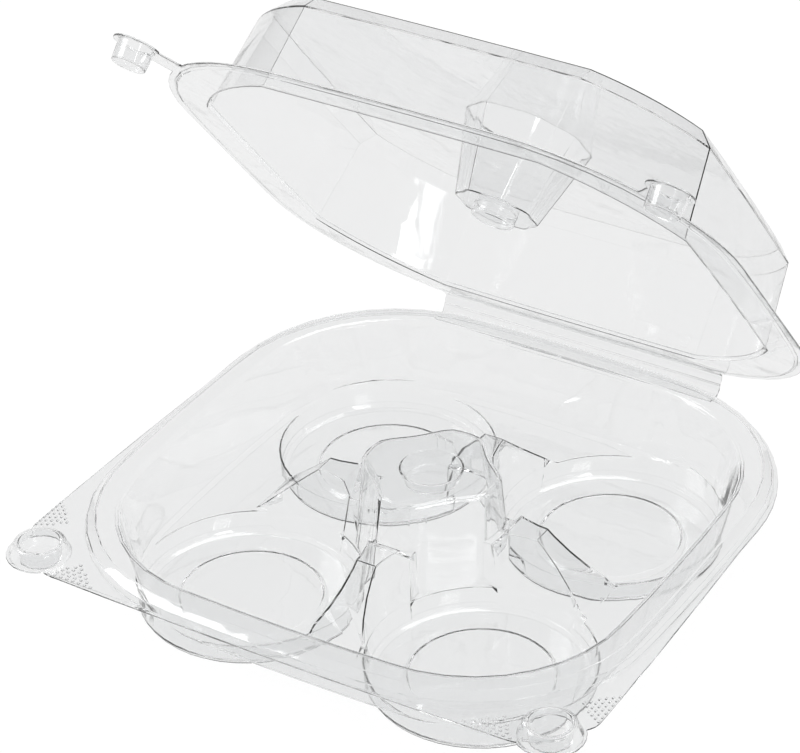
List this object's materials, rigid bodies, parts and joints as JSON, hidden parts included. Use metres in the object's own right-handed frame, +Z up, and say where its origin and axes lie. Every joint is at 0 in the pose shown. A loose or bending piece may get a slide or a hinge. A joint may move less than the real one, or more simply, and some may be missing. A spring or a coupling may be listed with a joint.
{
  "type": "cupcake box",
  "caption": "Clear clamshell box with round cup wells, a centre pedestal and a hinged domed lid with corner snap buttons.",
  "frame": {"origin": "middle of the open box's bounding box, on the surface that its feet stand on", "axes": "+Z up, +Y from the front edge to the hinge, X along the hinge"},
  "size_m": [0.1924, 0.1974, 0.1776],
  "materials": {
    "clear_plastic": "clear, glossy thermoformed sheet"
  },
  "bodies": {
    "base": {"tray": "clear_plastic"},
    "lid": {"lid": "clear_plastic"}
  },
  "joints": [
    {"name": "lid_hinge", "type": "hinge", "parent": "base", "child": "lid", "pos_m": [0, 0.08667, 0.02948], "axis": [-1, 0, 0], "range_deg": [-50, 110]}
  ]
}
